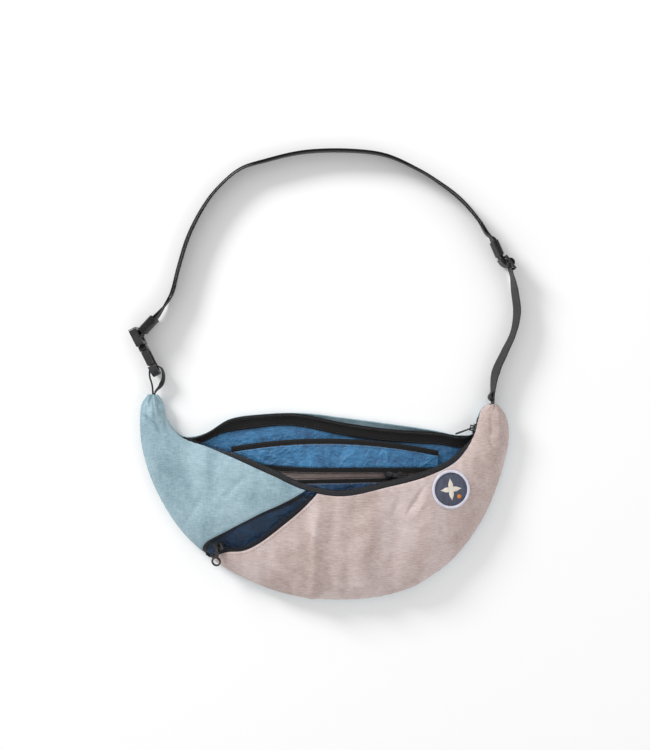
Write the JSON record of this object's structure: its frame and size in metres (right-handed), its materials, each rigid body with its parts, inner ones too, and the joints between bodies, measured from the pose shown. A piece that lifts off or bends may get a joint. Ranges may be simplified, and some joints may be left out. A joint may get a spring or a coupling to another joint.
{
  "type": "hip bag",
  "caption": "Crescent hip bag or money belt with zipped main compartment, diagonal zipped front pocket, inner pockets and adjustable webbing strap with snap hook.",
  "frame": {"origin": "middle of the bag on the flat outer face of the back panel", "axes": "+Z out of the front of the bag, away from the wearer; +Y towards the strap arc; +X towards the tip where the strap is sewn"},
  "size_m": [0.3755, 0.4361, 0.0395],
  "materials": {
    "aqua_cloth": "woven melange polyester, pale aqua, matt",
    "pink_cloth": "woven melange polyester, dusty pink, matt",
    "blue_lining": "thin coated lining cloth, bright blue, slight sheen",
    "navy_lining": "thin coated lining cloth, dark blue, slight sheen",
    "black_tape": "woven zip tape and nylon coil, black",
    "black_webbing": "woven polyester webbing, charcoal black",
    "black_plastic": "moulded acetal, black, satin",
    "black_metal": "die-cast zinc with black lacquer",
    "patch_navy": "dense navy embroidery",
    "patch_white": "white merrowed border thread",
    "patch_cream": "cream satin-stitch embroidery",
    "patch_orange": "orange satin-stitch embroidery"
  },
  "bodies": {
    "root": {"back_panel": "aqua_cloth", "front_panel_aqua": "aqua_cloth", "front_panel_pink": "pink_cloth", "inner_pocket_backing": "pink_cloth", "front_lining": "blue_lining", "back_lining": "blue_lining", "inner_slip_pocket_panel": "blue_lining", "front_pocket_lining": "navy_lining", "inner_zip_pocket_panel": "navy_lining", "seam_binding": "black_tape", "main_zip_tape_back": "black_tape", "main_zip_tape_front": "black_tape", "main_zip_coil_back": "black_tape", "main_zip_coil_front": "black_tape", "pocket_zip_tape_pink": "black_tape", "pocket_zip_tape_aqua": "black_tape", "pocket_zip_coil_pink": "black_tape", "pocket_zip_coil_aqua": "black_tape", "inner_slip_pocket_binding": "black_tape", "inner_zip_tape_upper": "black_tape", "inner_zip_tape_lower": "black_tape", "inner_zip_coil_upper": "black_tape", "inner_zip_coil_lower": "black_tape", "strap_webbing": "black_webbing", "left_tip_loop": "black_webbing", "triglide": "black_plastic", "hook_swivel_base": "black_plastic", "main_zip_bottom_stop": "black_metal", "main_zip_top_stop_back": "black_metal", "main_zip_top_stop_front": "black_metal", "pocket_zip_bottom_stop": "black_metal", "patch_disc": "patch_navy", "patch_border": "patch_white", "patch_star": "patch_cream", "patch_dot": "patch_orange"},
    "main_zip_slider_body": {"main_zip_slider": "black_metal"},
    "main_zip_pull_body": {"main_zip_pull": "black_plastic"},
    "pocket_zip_slider_body": {"pocket_zip_slider": "black_metal"},
    "pocket_zip_pull_body": {"pocket_zip_pull": "black_plastic"},
    "inner_zip_slider_body": {"inner_zip_slider": "black_metal"},
    "inner_zip_pull_body": {"inner_zip_pull": "black_plastic"},
    "hook": {"hook_body": "black_plastic"},
    "gate": {"hook_gate": "black_plastic"},
    "left_keeper": {"keeper_left": "black_webbing"},
    "right_keeper": {"keeper_right": "black_webbing"}
  },
  "joints": [
    {"name": "main_zip_slide", "type": "slide", "parent": "root", "child": "main_zip_slider_body", "axis": [-0.2436, -0.969, 0.0409], "range_m": [-0.005, 0]},
    {"name": "main_zip_pull_hinge", "type": "hinge", "parent": "main_zip_slider_body", "child": "main_zip_pull_body", "pos_m": [0.1418, 0.07087, 0.01], "axis": [-0.032, -0.0341, -0.9989], "range_deg": [-4, 100]},
    {"name": "pocket_zip_slide", "type": "slide", "parent": "root", "child": "pocket_zip_slider_body", "axis": [0.8974, 0.2776, 0.3429], "range_m": [-0.002, 0.006]},
    {"name": "pocket_zip_pull_hinge", "type": "hinge", "parent": "pocket_zip_slider_body", "child": "pocket_zip_pull_body", "pos_m": [-0.10182, -0.04183, 0.02839], "axis": [-0.9595, 0.1844, -0.2132], "range_deg": [-8, 165]},
    {"name": "inner_zip_slide", "type": "slide", "parent": "root", "child": "inner_zip_slider_body", "axis": [-1, 0, 0], "range_m": [-0.003, 0.01]},
    {"name": "inner_zip_pull_hinge", "type": "hinge", "parent": "inner_zip_slider_body", "child": "inner_zip_pull_body", "pos_m": [0.062, 0.0253, 0.01121], "axis": [0, -1, 0], "range_deg": [-8, 165]},
    {"name": "hook_swivel", "type": "hinge", "parent": "root", "child": "hook", "pos_m": [-0.1804, 0.1589, 0.013], "axis": [0.4508, -0.8926, 0], "range_deg": [-12, 12]},
    {"name": "gate_hinge", "type": "hinge", "parent": "hook", "child": "gate", "pos_m": [-0.17337, 0.14497, 0.0162], "axis": [0.8926, 0.4508, 0], "range_deg": [0, 25], "stiffness_Nm_per_rad": 0.05, "springref_deg": -2.86},
    {"name": "keeper_left_slide", "type": "slide", "parent": "root", "child": "left_keeper", "axis": [0.682, 0.7314, 0], "range_m": [0, 0.006]},
    {"name": "keeper_right_slide", "type": "slide", "parent": "root", "child": "right_keeper", "axis": [-0.3967, 0.9179, 0], "range_m": [0, 0.003]}
  ]
}
